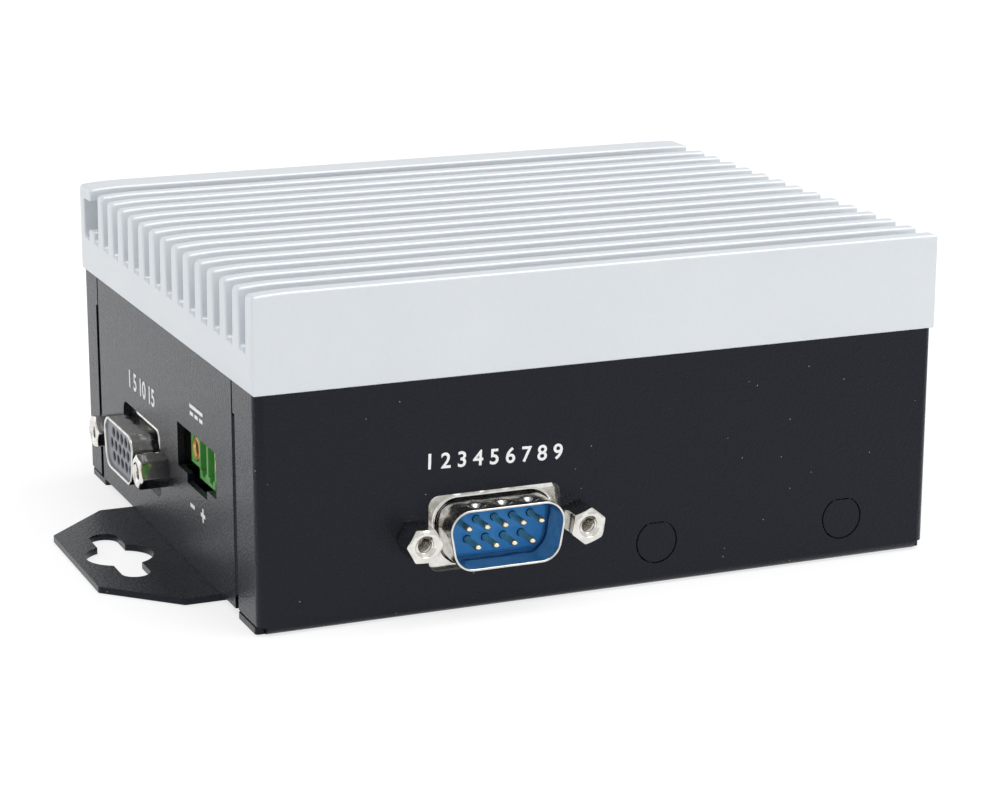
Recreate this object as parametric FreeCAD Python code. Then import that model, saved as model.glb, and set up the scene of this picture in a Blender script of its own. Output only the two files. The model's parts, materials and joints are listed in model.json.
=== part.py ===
import FreeCAD, Part
import math
import os

Vec = FreeCAD.Vector

# Case. Origin at the middle of its bottom face, front towards -Y, left end towards -X.
case_width = 106.4
case_depth = 89.0
case_height = 34.6
sheet = 1.0
bend_inner = 0.35
fold_slit = 0.3
front_flange = 9.9
back_flange = 7.8
flange_step = 0.9
flange_notch = 4.7
tab_reach = 9.3

# Mounting ears, one at each end of the tray floor
ear_reach = 15.4
ear_middle = -4.0
ear_root = 46.4
ear_tip = 26.3
ear_corner = 0.8
key_inset = 6.8
key_bore = 10.2
key_slot = 4.3
key_length = 22.0

# Round knock-outs in the front wall
knock_places = (7.9, 38.7)
knock_height = 6.56
knock_bore = 6.6
knock_flat = 3.0
knock_groove = 0.2
knock_bridge = 0.35

# Heat sink
sink_overhang = 0.2
sink_height = 14.2
sink_base = 5.7
sink_front_wall = 2.8
sink_rear_wall = 2.0
sink_draft = 0.3
fin_first = 7.4
fin_last_to_rib = 4.0
fin_pitch = 5.83
fin_top = 2.3
fin_root = 2.9
slot_chamfer = 0.5
tip_chamfer = 0.3
rib_width = 2.9
rib_height = 1.6
rib_gap = 3.1
lip_reach = 6.1
lip_thick = 2.3
end_dip = 0.35
end_run = 6.5

# Boards
board_thick = 1.6
board_gap = 1.4
standoff_length = 10.2
standoff_flats = 5.5
standoff_inset_x = 13.2
standoff_inset_y = 6.5
module_width = 72.0
module_depth = 55.0
module_thick = 1.2
module_rise = 4.0
module_inset = 3.2
spacer_flats = 4.5
module_socket_room = 3.0

# Screws and posts
screw_radius = 1.4
screw_gap = 0.2
head_radius = 2.6
head_height = 1.7
stud_length = 4.0
post_flats = 5.5
post_inset_x = 5.7
post_inset_y = 6.0
case_screw_length = 7.0
board_screw_grip = 6.0
clip_screw_grip = 3.6
small_screw_grip = 3.0
small_screw_radius = 1.0
small_head_radius = 1.9
small_head_height = 1.2
hidden_sides = 8

# Clips that hold the end panels
clip_width = 8.0
clip_leg = 6.0
clip_foot = 8.6
clip_inset = 18.5

# End panels
panel_gap = 0.5
tongue_reach = 6.0
tongue_bottom = 3.0
tongue_gap = 0.1

# Connectors with a D-shaped shell
screw_spacing = 24.99
flange_width = 30.81
flange_height = 12.55
flange_thick = 0.8
flange_chamfer = 1.5
shell_wall = 0.35
cut_round = 1.6
dee_slant = math.radians(10.0)
jack_flats = 4.8
jack_bore = 2.5
jack_bore_depth = 4.2
jack_stud = 2.6
jack_stud_length = 5.0
contact_side = 0.8

# 9-pin connector on the front
nine_x = -17.7
nine_z = 11.9
nine_cut_width = 20.3
nine_cut_height = 11.2
nine_width = 18.7
nine_height = 9.0
nine_round = 3.1
nine_out = 6.0
nine_pitch = 2.77
nine_rows = 2.84
nine_pin = 1.0
nine_pin_out = 5.0
nine_pin_sides = 12
nine_shank = 1.1
nine_body_width = 18.6
nine_body_depth = 8.0
nine_jack = 5.0
nine_turns = (40, 0)
nine_backs = (3.2, 6.0)

# 15-hole connector on the left end
many_y = 12.6
many_z = 12.3
many_cut_width = 20.3
many_cut_height = 10.7
many_width = 17.0
many_height = 8.2
many_round = 2.6
many_out = 4.9
many_pitch = 2.29
many_rows = 1.98
many_hole = 1.1
many_face_inset = 0.4
many_body_depth = 8.0
many_jack = 4.5
many_turns = (15, 50)

# Power inlet on the left end
power_y = -16.64
power_rise = 4.5
power_cut_width = 19.0
power_cut_top = 3.4
power_cut_side = 3.4
power_cut_low = 4.8
power_cut_middle = 9.8
power_recess = 1.6
power_width = 15.8
power_middle = 7.6
power_side = 2.5
power_low = 4.0
power_depth = 9.2
pole_pitch = 3.81
pole_width = 3.1
pole_height = 5.4
pole_depth = 7.4
pole_pin = 1.0
pole_pin_inset = 1.5
pole_key = 0.6
nut_place = 5.54
nut_radius = 1.85
nut_bore = 1.1
nut_length = 6.0

# Sockets on the right end
port_gap = 0.3
port_proud = 0.3
port_wall = 0.4
port_spacing = 3.0
lan_width = 15.9
lan_height = 13.4
lan_depth = 21.0
lan_opening = 11.9
lan_opening_height = 7.0
lan_latch = 6.2
lan_latch_height = 1.8
lan_plug_depth = 12.5
lan_contact_pitch = 1.02
lan_contact = 0.4
usb_width = 14.4
usb_height = 15.6
usb_depth = 17.5
usb_opening = 12.5
usb_opening_height = 5.1
usb_pitch = 7.8
usb_tongue = 1.9
usb_tongue_width = 11.1
usb_tongue_inset = 1.0
usb_tongue_drop = 0.6
video_width = 15.0
video_height = 6.0
video_depth = 11.0
video_chamfer = 1.5
video_tongue = 0.9
video_tongue_width = 10.8

# Inner parts
chip_width = 24.0
chip_height = 1.8
chip_y = 4.0
memory_size = (9.0, 11.0, 1.0)
memory_x = 21.0
memory_y = (-6.0, 10.0)
pad_thick = 0.5
spreader_width = 54.0
spreader_depth = 40.0
socket_length = 56.0
socket_width = 6.0
card_size = (42.0, 22.0, 0.8)
card_y = -11.0
card_clearance = 10.0
card_socket = 8.0
card_socket_height = 4.2
card_insert = 4.0
card_screw_grip = 1.6
cell_place = (0.0, 22.0)
cell_radius = 10.0
cell_height = 3.2
cell_wall = 1.5
cell_lip = 0.6
coil_side = 7.0
coil_height = 4.0
coil_chamfer = 0.8
coil_gap = 1.0
coil_offsets = (-11.4, -3.4)
can_radius = 3.15
can_height = 5.8
can_inset = 10.5
can_columns = (6.0, 14.0, 22.0)

# Places worked out from the sizes above
half_width = case_width / 2
half_depth = case_depth / 2
inner_x = half_width - sheet
inner_y = half_depth - sheet
bend_outer = bend_inner + sheet
plate_edge = half_width - bend_outer
board_top = case_height - standoff_length
board_under = board_top - board_thick
module_under = board_top + module_rise
module_top = module_under + module_thick
post_x = half_width - post_inset_x
post_y = half_depth - post_inset_y
standoff_x = half_width - standoff_inset_x
standoff_y = half_depth - standoff_inset_y
clip_screw_x = inner_x - sheet - clip_foot / 2
clip_y = half_depth - clip_inset
panel_front = -half_depth + front_flange + panel_gap
panel_back = half_depth - back_flange - panel_gap
power_z = board_under - power_rise
power_back_x = -inner_x + power_recess - sheet + power_depth
port_total = lan_width + usb_width + video_width + 2 * port_spacing
lan_y = (panel_front + panel_back + port_total - lan_width) / 2
usb_y = lan_y - lan_width / 2 - port_spacing - usb_width / 2
video_y = usb_y - usb_width / 2 - port_spacing - video_width / 2
notch_level = case_height - flange_notch

planes = {
    "xy": (Vec(1, 0, 0), Vec(0, 1, 0), Vec(0, 0, 1)),
    "xz": (Vec(1, 0, 0), Vec(0, 0, 1), Vec(0, 1, 0)),
    "yz": (Vec(0, 1, 0), Vec(0, 0, 1), Vec(1, 0, 0)),
}


def outline(points, radii):
    # closed wire through the points, each corner rounded by its own radius or, below zero, chamfered
    corners = []
    for i, here in enumerate(points):
        if radii[i] == 0:
            corners.append((here, here, None))
            continue
        back = (points[i - 1] - here).normalize()
        ahead = (points[(i + 1) % len(points)] - here).normalize()
        if radii[i] < 0:
            corners.append((here - back * radii[i], here - ahead * radii[i], None))
            continue
        half_angle = back.getAngle(ahead) / 2
        reach = radii[i] / math.tan(half_angle)
        inward = (back + ahead).normalize()
        apex = here + inward * (radii[i] / math.sin(half_angle) - radii[i])
        corners.append((here + back * reach, here + ahead * reach, apex))
    edges = []
    for i, (start, finish, apex) in enumerate(corners):
        if apex:
            edges.append(Part.Arc(start, apex, finish).toShape())
        elif start != finish:
            edges.append(Part.makeLine(start, finish))
        following = corners[(i + 1) % len(corners)][0]
        if finish.distanceToPoint(following) > 1e-6:
            edges.append(Part.makeLine(finish, following))
    return Part.Wire(edges)


def prism(corners, plane, start, end):
    # corners are (across, up) or (across, up, radius), a radius below zero is a chamfer
    across, up, along = planes[plane]
    points = [across * c[0] + up * c[1] + along * start for c in corners]
    radii = [c[2] if len(c) > 2 else 0 for c in corners]
    return Part.Face(outline(points, radii)).extrude(along * (end - start))


def rect(a0, a1, b0, b1, radius=0):
    return [(a0, b0, radius), (a1, b0, radius), (a1, b1, radius), (a0, b1, radius)]


def block(x0, x1, y0, y1, z0, z1, radius=0):
    return prism(rect(x0, x1, y0, y1, radius), "xy", z0, z1)


def polygon(a, b, reach, sides, turn=0):
    angles = [math.radians(turn + 360 / sides * k) for k in range(sides)]
    return [(a + reach * math.cos(t), b + reach * math.sin(t)) for t in angles]


def hexagon(a, b, flats, turn=0):
    return polygon(a, b, flats / 2 / math.cos(math.pi / 6), 6, turn)


def bar(radius, x, y, z0, z1):
    # shank, head or hole of a fastener inside the case, upright, with few sides
    return prism(polygon(x, y, radius, hidden_sides), "xy", z0, z1)


def dee(width, height, radius):
    # D shape with its wide side up
    low = width / 2 - height * math.tan(dee_slant)
    return [(-low, -height / 2, radius), (low, -height / 2, radius),
            (width / 2, height / 2, radius), (-width / 2, height / 2, radius)]


def band(path, thick, inner):
    # outline of a folded strip: path runs along one face, the strip lies to its left
    steps = [Vec(b[0] - a[0], b[1] - a[1], 0).normalize() for a, b in zip(path, path[1:])]
    sides = [Vec(-s.y, s.x, 0) for s in steps]
    near, far = [], []
    for i, (a, b) in enumerate(path):
        first, second = sides[max(i - 1, 0)], sides[min(i, len(sides) - 1)]
        shift = (first + second) * (thick / (1 + first.dot(second)))
        turn = steps[max(i - 1, 0)].cross(steps[min(i, len(steps) - 1)]).z
        tight, wide = inner, inner + thick
        if abs(turn) < 1e-9:
            tight, wide = 0, 0
        near.append((a, b, wide if turn > 0 else tight))
        far.append((a + shift.x, b + shift.y, tight if turn > 0 else wide))
    return near + far[::-1]


def rod(radius, base, direction, length):
    return Part.makeCylinder(radius, length, base, direction)


def both_ends(shape):
    return [shape, shape.mirror(Vec(0, 0, 0), Vec(1, 0, 0))]


def corner_points(x, y):
    return [(sx * x, sy * y) for sx in (-1, 1) for sy in (-1, 1)]


def joined(shapes):
    return shapes[0].multiFuse(shapes[1:]).removeSplitter()


def on_wall(shape, wall, along, up):
    # a connector is drawn with +Y out of the wall and its origin on the wall's inner face
    turns = {"front": 180, "left": 90, "right": -90}
    places = {"front": Vec(along, -inner_y, up), "left": Vec(-inner_x, along, up), "right": Vec(inner_x, along, up)}
    moved = shape.copy()
    moved.Placement = FreeCAD.Placement(places[wall], FreeCAD.Rotation(Vec(0, 0, 1), turns[wall]))
    return moved


def save(name, shapes):
    shape = shapes[0] if len(shapes) == 1 else Part.makeCompound(shapes)
    shape.exportStep("parts/" + name + ".step")


def pan_screw(x, y, seat, length, shank, head, height, up):
    # up is 1 where the head lies above its seat and the shank points down
    post = bar(shank, x, y, *sorted((seat, seat - up * length)))
    return post.fuse(bar(head, x, y, *sorted((seat, seat + up * height)))).removeSplitter()


def fin_middles(last):
    # the fins share out the room between the front wall and the low rib
    count = 1 + round((last - fin_first) / fin_pitch)
    return [fin_first + n * (last - fin_first) / (count - 1) for n in range(count)]


def heatsink():
    depth = case_depth + 2 * sink_overhang
    rear = depth - sink_rear_wall
    rib_back = rear - rib_gap
    rib_top = sink_base + rib_height
    corners = [(0, 0), (0, sink_height, -tip_chamfer), (sink_front_wall, sink_height, -tip_chamfer),
               (sink_front_wall + sink_draft, sink_base, -slot_chamfer)]
    for middle in fin_middles(rib_back - rib_width - fin_last_to_rib):
        corners += [(middle - fin_root / 2, sink_base, -slot_chamfer), (middle - fin_top / 2, sink_height, -tip_chamfer),
                    (middle + fin_top / 2, sink_height, -tip_chamfer), (middle + fin_root / 2, sink_base, -slot_chamfer)]
    corners += [(rib_back - rib_width, sink_base), (rib_back - rib_width, rib_top, -tip_chamfer),
                (rib_back, rib_top, -tip_chamfer), (rib_back, sink_base, -slot_chamfer),
                (rear, sink_base, -slot_chamfer), (rear, sink_height - lip_thick, -slot_chamfer),
                (depth - lip_reach, sink_height - lip_thick, -tip_chamfer),
                (depth - lip_reach, sink_height, -tip_chamfer), (depth, sink_height, -tip_chamfer), (depth, 0)]
    placed = [(c[0] - depth / 2, c[1] + case_height, *c[2:]) for c in corners]
    reach = half_width + sink_overhang
    body = prism(placed, "yz", -reach, reach)
    top = case_height + sink_height
    bend = end_run ** 2 / (2 * end_dip)
    crown = rod(bend, Vec(end_run - reach, -depth, top - bend), Vec(0, 1, 0), 2 * depth)
    dip = block(-reach - 1, end_run - reach, -depth, depth, top - 2 * end_dip, top + 1).cut(crown)
    bores = [bar(screw_radius + screw_gap, x, y, case_height, case_height + stud_length + screw_gap)
             for x, y in corner_points(standoff_x, standoff_y) + corner_points(post_x, post_y)
             + corner_points(clip_screw_x, clip_y)]
    return [body.cut(both_ends(dip) + bores)]


def corner_fold(reach):
    # front left corner of the tray: the wall turns the corner and ends in a stepped flange
    path = [(-half_width, -half_depth + reach), (-half_width, -half_depth),
            (-half_width + 3 * bend_outer, -half_depth)]
    fold = prism(band(path, sheet, bend_inner), "xy", sheet + fold_slit, case_height)
    step = block(-half_width - 1, -inner_x + 1, -half_depth + reach - flange_step, 0, 0, notch_level)
    tab = block(-half_width, -plate_edge + 1, -half_depth + bend_outer, -half_depth + tab_reach, 0, sheet, 0.5)
    return [fold.cut(step), tab]


def knock_out(x):
    def disc(radius, flat):
        whole = rod(radius, Vec(x, -half_depth - 1, knock_height), Vec(0, 1, 0), sheet + 2)
        above = block(x - radius - 1, x + radius + 1, -half_depth - 2, -half_depth + sheet + 2,
                      knock_height + flat, knock_height + radius + 1)
        return whole.cut(above)
    radius = knock_bore / 2
    ring = disc(radius, knock_flat).cut(disc(radius - knock_groove, knock_flat - knock_groove))
    end = math.sqrt(radius ** 2 - knock_flat ** 2)
    bridges = [block(x + s * end - knock_bridge / 2, x + s * end + knock_bridge / 2, -half_depth - 2,
                     -half_depth + sheet + 2, knock_height + knock_flat / 2, knock_height + radius)
               for s in (-1, 1)]
    return ring.cut(bridges)


def key_hole(x):
    bore = rod(key_bore / 2, Vec(x, ear_middle, -1), Vec(0, 0, 1), sheet + 2)
    slot = block(x - key_slot / 2, x + key_slot / 2, ear_middle - key_length / 2, ear_middle + key_length / 2,
                 -1, sheet + 1, key_slot / 2)
    return bore.fuse(slot)


def ear():
    tip = half_width + ear_reach
    shoulder = tip - (ear_root - ear_tip) / 2
    low, high = ear_middle - ear_root / 2, ear_middle + ear_root / 2
    corners = [(-plate_edge + 1, low), (-shoulder, low, ear_corner),
               (-tip, ear_middle - ear_tip / 2, ear_corner), (-tip, ear_middle + ear_tip / 2, ear_corner),
               (-shoulder, high, ear_corner), (-plate_edge + 1, high)]
    return prism(corners, "xy", 0, sheet).cut(key_hole(-tip + key_inset))


def connector_cut(width, height, jack_hole):
    # panel opening for a D-shaped connector and its two screw locks
    cutters = [prism(rect(-width / 2, width / 2, -height / 2, height / 2, cut_round), "xz", -1, sheet + 1)]
    for side in (-1, 1):
        cutters.append(rod(jack_hole, Vec(side * screw_spacing / 2, -1, 0), Vec(0, 1, 0), sheet + 2))
    return cutters[0].multiFuse(cutters[1:])


def bottom_tray():
    path = [(-half_depth, case_height), (-half_depth, 0), (half_depth, 0), (half_depth, case_height)]
    pieces = [prism(band(path, sheet, bend_inner), "yz", -plate_edge, plate_edge)]
    corners = corner_fold(front_flange)
    corners += [s.mirror(Vec(0, 0, 0), Vec(0, 1, 0)) for s in corner_fold(back_flange)]
    for piece in corners + [ear()]:
        pieces += both_ends(piece)
    tray = joined(pieces)
    cutters = [on_wall(connector_cut(nine_cut_width, nine_cut_height, jack_stud / 2 + port_gap),
                        "front", nine_x, nine_z)]
    cutters += [knock_out(x) for x in knock_places]
    for x, y in corner_points(post_x, post_y):
        cutters.append(Part.makeCone(screw_radius + screw_gap + sheet, screw_radius + screw_gap, sheet,
                                     Vec(x, y, 0), Vec(0, 0, 1)))
    return [tray.cut(cutters)]


def panel_blank():
    # left end panel before its openings: flat plate, and tongues stepped in behind the corner flanges
    plate = block(-half_width, -inner_x, panel_front, panel_back, sheet, case_height)
    step = sheet + tongue_gap
    tongues = []
    for edge, way in ((panel_front, -1), (panel_back, 1)):
        path = [(-half_width, edge - way * 3), (-half_width, edge), (-half_width + step, edge + way * step),
                (-half_width + step, edge + way * (step + tongue_reach))]
        if way > 0:
            path = path[::-1]
        tongues.append(prism(band(path, sheet, bend_inner), "xy", tongue_bottom, notch_level - panel_gap))
    return joined([plate] + tongues)


def stepped(half, middle, top, side, low):
    # outline of the power inlet: a rectangle with a narrower step below it
    return [(-half, top), (-half, -side), (-middle, -side), (-middle, -low), (middle, -low), (middle, -side),
            (half, -side), (half, top)]


def left_panel():
    inlet = stepped(power_cut_width / 2, power_cut_middle / 2, power_cut_top, power_cut_side, power_cut_low)
    cuts = [on_wall(connector_cut(many_cut_width, many_cut_height, jack_stud / 2 + port_gap), "left", many_y, many_z),
            on_wall(prism(inlet, "xz", -1, sheet + 1), "left", power_y, power_z)]
    return [panel_blank().cut(cuts)]


def right_panel():
    blank = panel_blank().mirror(Vec(0, 0, 0), Vec(1, 0, 0))
    cuts = []
    for place, width, height in ((lan_y, lan_width, lan_height), (usb_y, usb_width, usb_height),
                                 (video_y, video_width, video_height)):
        window = prism(rect(-width / 2 - port_gap, width / 2 + port_gap, -height - port_gap, port_gap),
                       "xz", -1, sheet + 1)
        cuts.append(on_wall(window, "right", place, board_under))
    return [blank.cut(cuts)]


def dee_shell(width, height, radius, out):
    # drawn steel shell: flat flange behind the wall and a D-shaped rim that stands out through it
    flange = prism(rect(-flange_width / 2, flange_width / 2, -flange_height / 2, flange_height / 2, -flange_chamfer),
                   "xz", -flange_thick, 0)
    rim = prism(dee(width, height, radius), "xz", -flange_thick, out)
    inner = dee(width - 2 * shell_wall, height - 2 * shell_wall, radius - shell_wall)
    shell = flange.fuse(rim).cut(prism(inner, "xz", -flange_thick - 1, out + 1))
    cutters = [rod(jack_stud / 2 + port_gap, Vec(s * screw_spacing / 2, -2, 0), Vec(0, 1, 0), 4) for s in (-1, 1)]
    return shell.cut(cutters).removeSplitter()


def jack_screw(side, out, turn):
    x = side * screw_spacing / 2
    front = sheet + out
    body = prism(hexagon(x, 0, jack_flats, turn), "xz", sheet, front)
    body = body.fuse(rod(jack_stud / 2, Vec(x, sheet - jack_stud_length, 0), Vec(0, 1, 0), jack_stud_length))
    bore = rod(jack_bore / 2, Vec(x, front - jack_bore_depth, 0), Vec(0, 1, 0), jack_bore_depth + 1)
    return body.cut(bore)


def nine_places():
    # five contacts in the wide row, four below it
    wide = [((n - 2) * nine_pitch, nine_rows / 2) for n in range(5)]
    return wide + [((n - 1.5) * nine_pitch, -nine_rows / 2) for n in range(4)]


def nine_pin_solid(x, z):
    # round front, then a square shank that turns up to the board
    tip = prism(polygon(x, z, nine_pin / 2, nine_pin_sides), "xz", 0, nine_pin_out)
    back, half, top = nine_backs[0 if z < 0 else 1], nine_shank / 2, board_under - nine_z
    shank = prism([(-back - half, top), (-back - half, z - half), (0, z - half), (0, z + half),
                   (half - back, z + half), (half - back, top)], "yz", x - half, x + half)
    return tip.fuse(shank)


def nine_parts():
    pins = [nine_pin_solid(x, z) for x, z in nine_places()]
    inside = dee(nine_width - 2 * shell_wall, nine_height - 2 * shell_wall, nine_round - shell_wall)
    plug = prism(inside, "xz", -flange_thick, 0)
    half = nine_body_width / 2
    body = block(-half, half, -flange_thick - nine_body_depth, -flange_thick, -nine_height / 2,
                 board_under - nine_z)
    insulator = plug.fuse(body).cut(pins)
    jacks = [jack_screw(side, nine_jack, turn) for side, turn in zip((-1, 1), nine_turns)]
    return dee_shell(nine_width, nine_height, nine_round, nine_out), insulator, pins, jacks


def many_places():
    # three rows of five, the middle row shifted by half a pitch
    return [((n - 2 + (0.25 if row == 0 else -0.25)) * many_pitch, row * many_rows)
            for row in (1, 0, -1) for n in range(5)]


def many_parts():
    half = contact_side / 2
    back = -flange_thick - many_body_depth
    contacts = [prism(rect(x - half, x + half, z - half, z + half), "xz", back, 0.5) for x, z in many_places()]
    inside = dee(many_width - 2 * shell_wall, many_height - 2 * shell_wall, many_round - shell_wall)
    plug = prism(inside, "xz", -flange_thick, many_out - many_face_inset)
    side = nine_body_width / 2
    body = block(-side, side, back, -flange_thick, -many_height / 2, board_under - many_z)
    holes = [prism(polygon(x, z, many_hole / 2, hidden_sides), "xz", 0.5, many_out) for x, z in many_places()]
    insulator = plug.fuse(body).cut(contacts + holes)
    jacks = [jack_screw(side, many_jack, turn) for side, turn in zip((-1, 1), many_turns)]
    return dee_shell(many_width, many_height, many_round, many_out), insulator, contacts, jacks


def power_parts():
    face = sheet - power_recess
    back = face - power_depth
    body = prism(stepped(power_width / 2, power_middle / 2, power_rise, power_side, power_low), "xz", back, face)
    cuts, pins, nuts = [], [], []
    for side in (-1, 1):
        x = side * pole_pitch / 2
        cuts.append(prism(rect(x - pole_width / 2, x + pole_width / 2, -pole_height / 2, pole_height / 2),
                          "xz", face - pole_depth, face + 1))
        key = prism(rect(x - pole_width / 4, x + pole_width / 4, pole_key - power_low, 0), "xz",
                    face - pole_depth, face + 1)
        cuts.append(key)
        pin = prism(rect(x - pole_pin / 2, x + pole_pin / 2, -pole_pin / 2, pole_pin / 2), "xz", back,
                    face - pole_pin_inset)
        pins.append(pin)
        nut = rod(nut_radius, Vec(side * nut_place, face - nut_length, 0), Vec(0, 1, 0), nut_length)
        nuts.append(nut.cut(rod(nut_bore, Vec(side * nut_place, face - nut_length - 1, 0), Vec(0, 1, 0),
                                nut_length + 2)))
        cuts.append(rod(nut_radius + 0.05, Vec(side * nut_place, face - nut_length - screw_gap, 0),
                        Vec(0, 1, 0), nut_length + 1))
    return body.cut(cuts).cut(pins), nuts, pins


def lan_parts():
    half = lan_width / 2
    front, back = sheet + port_proud, sheet + port_proud - lan_depth
    shell = block(-half, half, back, front, -lan_height, 0)
    inside = block(-half + port_wall, half - port_wall, back + port_wall, front, -lan_height + port_wall, -port_wall)
    face = front - port_wall
    insert = inside.common(block(-half, half, back, face, -lan_height, 0))
    middle = -lan_height / 2
    low, high = middle - lan_opening_height / 2, middle + lan_opening_height / 2
    cavity = block(-lan_opening / 2, lan_opening / 2, face - lan_plug_depth, face + 1, low, high)
    latch = block(-lan_latch / 2, lan_latch / 2, face - lan_plug_depth, face + 1, high, high + lan_latch_height)
    contacts = []
    for n in range(8):
        x = (n - 3.5) * lan_contact_pitch
        slope = [(face - lan_plug_depth, low), (face - 2, low), (face - lan_plug_depth + 1, low + 1.6),
                 (face - lan_plug_depth, low + 1.6)]
        contacts.append(prism(slope, "yz", x - lan_contact / 2, x + lan_contact / 2))
    return shell.cut(inside), insert.cut([cavity, latch]), contacts


def usb_parts():
    half = usb_width / 2
    front, back = sheet + port_proud, sheet + port_proud - usb_depth
    shell = block(-half, half, back, front, -usb_height, 0)
    cuts, tongues = [], []
    depth = usb_depth - 2 * port_wall
    for n in (-1, 1):
        middle = -usb_height / 2 + n * usb_pitch / 2
        low, high = middle - usb_opening_height / 2, middle + usb_opening_height / 2
        cuts.append(block(-usb_opening / 2, usb_opening / 2, front - depth, front + 1, low, high))
        roof = high - usb_tongue_drop
        tongues.append(block(-usb_tongue_width / 2, usb_tongue_width / 2, front - depth, front - usb_tongue_inset,
                             roof - usb_tongue, roof))
    return shell.cut(cuts), tongues


def video_parts():
    front, back = sheet + port_proud, sheet + port_proud - video_depth

    def ring(inset):
        half, chamfer = video_width / 2 - inset, video_chamfer
        return [(-half, -inset), (-half, -video_height + inset + chamfer),
                (-half + chamfer, -video_height + inset), (half - chamfer, -video_height + inset),
                (half, -video_height + inset + chamfer), (half, -inset)]
    shell = prism(ring(0), "xz", back, front)
    cavity = prism(ring(2 * port_wall), "xz", back + 2 * port_wall, front + 1)
    middle = -video_height / 2
    tongue = block(-video_tongue_width / 2, video_tongue_width / 2, back + 2 * port_wall, front - 1,
                   middle - video_tongue / 2, middle + video_tongue / 2)
    return shell.cut(cavity), tongue


def carrier_board():
    edge_x = inner_x - tongue_gap - sheet - port_gap
    edge_y = inner_y - board_gap
    board = block(-edge_x, edge_x, -edge_y, edge_y, board_under, board_top)
    notch = post_flats / 2 / math.cos(math.pi / 6) + port_gap
    cuts = [block(*sorted((x - notch * math.copysign(1, x), x + 20 * math.copysign(1, x))),
                  *sorted((y - notch * math.copysign(1, y), y + 20 * math.copysign(1, y))), 0, case_height)
            for x, y in corner_points(post_x, post_y)]
    cuts += [bar(screw_radius + screw_gap, x, y, 0, case_height) for x, y in corner_points(standoff_x, standoff_y)]
    return [board.cut(cuts)]


def hanging_post(x, y, flats, bottom, bore_depth):
    # hexagonal post with a stud into the heat sink and a tapped hole in its lower end
    post = prism(hexagon(x, y, flats), "xy", bottom, case_height)
    stud = bar(screw_radius, x, y, case_height, case_height + stud_length)
    bore = bar(screw_radius + screw_gap, x, y, bottom - 1, bottom + bore_depth)
    return post.fuse(stud).cut(bore)


def board_fixings():
    places = corner_points(standoff_x, standoff_y)
    length = board_screw_grip
    standoffs = [hanging_post(x, y, standoff_flats, board_top, length + screw_gap) for x, y in places]
    screws = [pan_screw(x, y, board_under, board_thick + length, screw_radius, head_radius, head_height, -1)
              for x, y in places]
    return standoffs, screws


def case_fixings():
    places = corner_points(post_x, post_y)
    posts = [hanging_post(x, y, post_flats, sheet, case_screw_length + screw_gap) for x, y in places]
    screws = []
    for x, y in places:
        head = Part.makeCone(screw_radius + sheet, screw_radius, sheet, Vec(x, y, 0), Vec(0, 0, 1))
        screws.append(head.fuse(bar(screw_radius, x, y, sheet, sheet + case_screw_length)))
    return posts, screws


def panel_fixings():
    # brackets that hold the end panels' upper edges to the heat sink
    clips, screws = [], []
    for x, y in corner_points(clip_screw_x, clip_y):
        way = math.copysign(1, x)
        outer, inner, end = way * inner_x, way * (inner_x - sheet), way * (inner_x - sheet - clip_foot)
        strip = prism([(outer, case_height - clip_leg), (outer, case_height), (end, case_height),
                       (end, case_height - sheet), (inner, case_height - sheet), (inner, case_height - clip_leg)],
                      "xz", y - clip_width / 2, y + clip_width / 2)
        clips.append(strip.cut(bar(screw_radius + screw_gap, x, y, case_height - sheet - 1, case_height + 1)))
        screws.append(pan_screw(x, y, case_height - sheet, sheet + clip_screw_grip, screw_radius, head_radius,
                                head_height, -1))
    return clips, screws


def module_parts():
    half_x, half_y = module_width / 2, module_depth / 2
    places = corner_points(half_x - module_inset, half_y - module_inset)
    hole = small_screw_radius + screw_gap
    holes = [bar(hole, x, y, board_top - 1, case_height) for x, y in places]
    board = block(-half_x, half_x, -half_y, half_y, module_under, module_top).cut(holes)
    spacers = [prism(hexagon(x, y, spacer_flats), "xy", board_top, module_under).cut(holes) for x, y in places]
    screws = [pan_screw(x, y, module_top, module_thick + small_screw_grip, small_screw_radius, small_head_radius,
                        small_head_height, 1) for x, y in places]
    socket_y = -half_y + 2 * module_inset + module_socket_room
    socket = block(-socket_length / 2, socket_length / 2, socket_y, socket_y + socket_width, board_top, module_under)
    return board, spacers, screws, socket


def heat_path():
    half = chip_width / 2
    top = module_top + chip_height
    chip = block(-half, half, chip_y - half, chip_y + half, module_top, top)
    pad = block(-half, half, chip_y - half, chip_y + half, top, top + pad_thick)
    spreader = block(-spreader_width / 2, spreader_width / 2, chip_y - spreader_depth / 2,
                     chip_y + spreader_depth / 2, top + pad_thick, case_height)
    width, depth, height = memory_size
    chips = [block(s * memory_x - width / 2, s * memory_x + width / 2, y - depth / 2, y + depth / 2,
                   module_top, module_top + height) for s in (-1, 1) for y in memory_y]
    return chip, pad, spreader, chips


def storage_parts():
    # flash card lying under the board, one end in its socket and the other on a screw post
    length, width, thick = card_size
    x = power_back_x + card_clearance
    low = board_under - card_socket_height
    slot = board_under - card_socket_height / 2
    start = x + card_socket - card_insert
    end = start + length - small_head_radius
    hole = bar(small_screw_radius + screw_gap, end, card_y, low - 1, board_under)
    card = block(start, start + length, card_y - width / 2, card_y + width / 2, slot - thick, slot)
    socket = block(x, x + card_socket, card_y - width / 2 - port_wall, card_y + width / 2 + port_wall, low,
                   board_under).cut(card)
    post = bar(small_head_radius, end, card_y, slot, board_under).cut(hole)
    screw = pan_screw(end, card_y, slot - thick, thick + card_screw_grip, small_screw_radius, small_head_radius,
                      small_head_height, -1)
    return card.cut(hole), socket, post, screw


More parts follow.
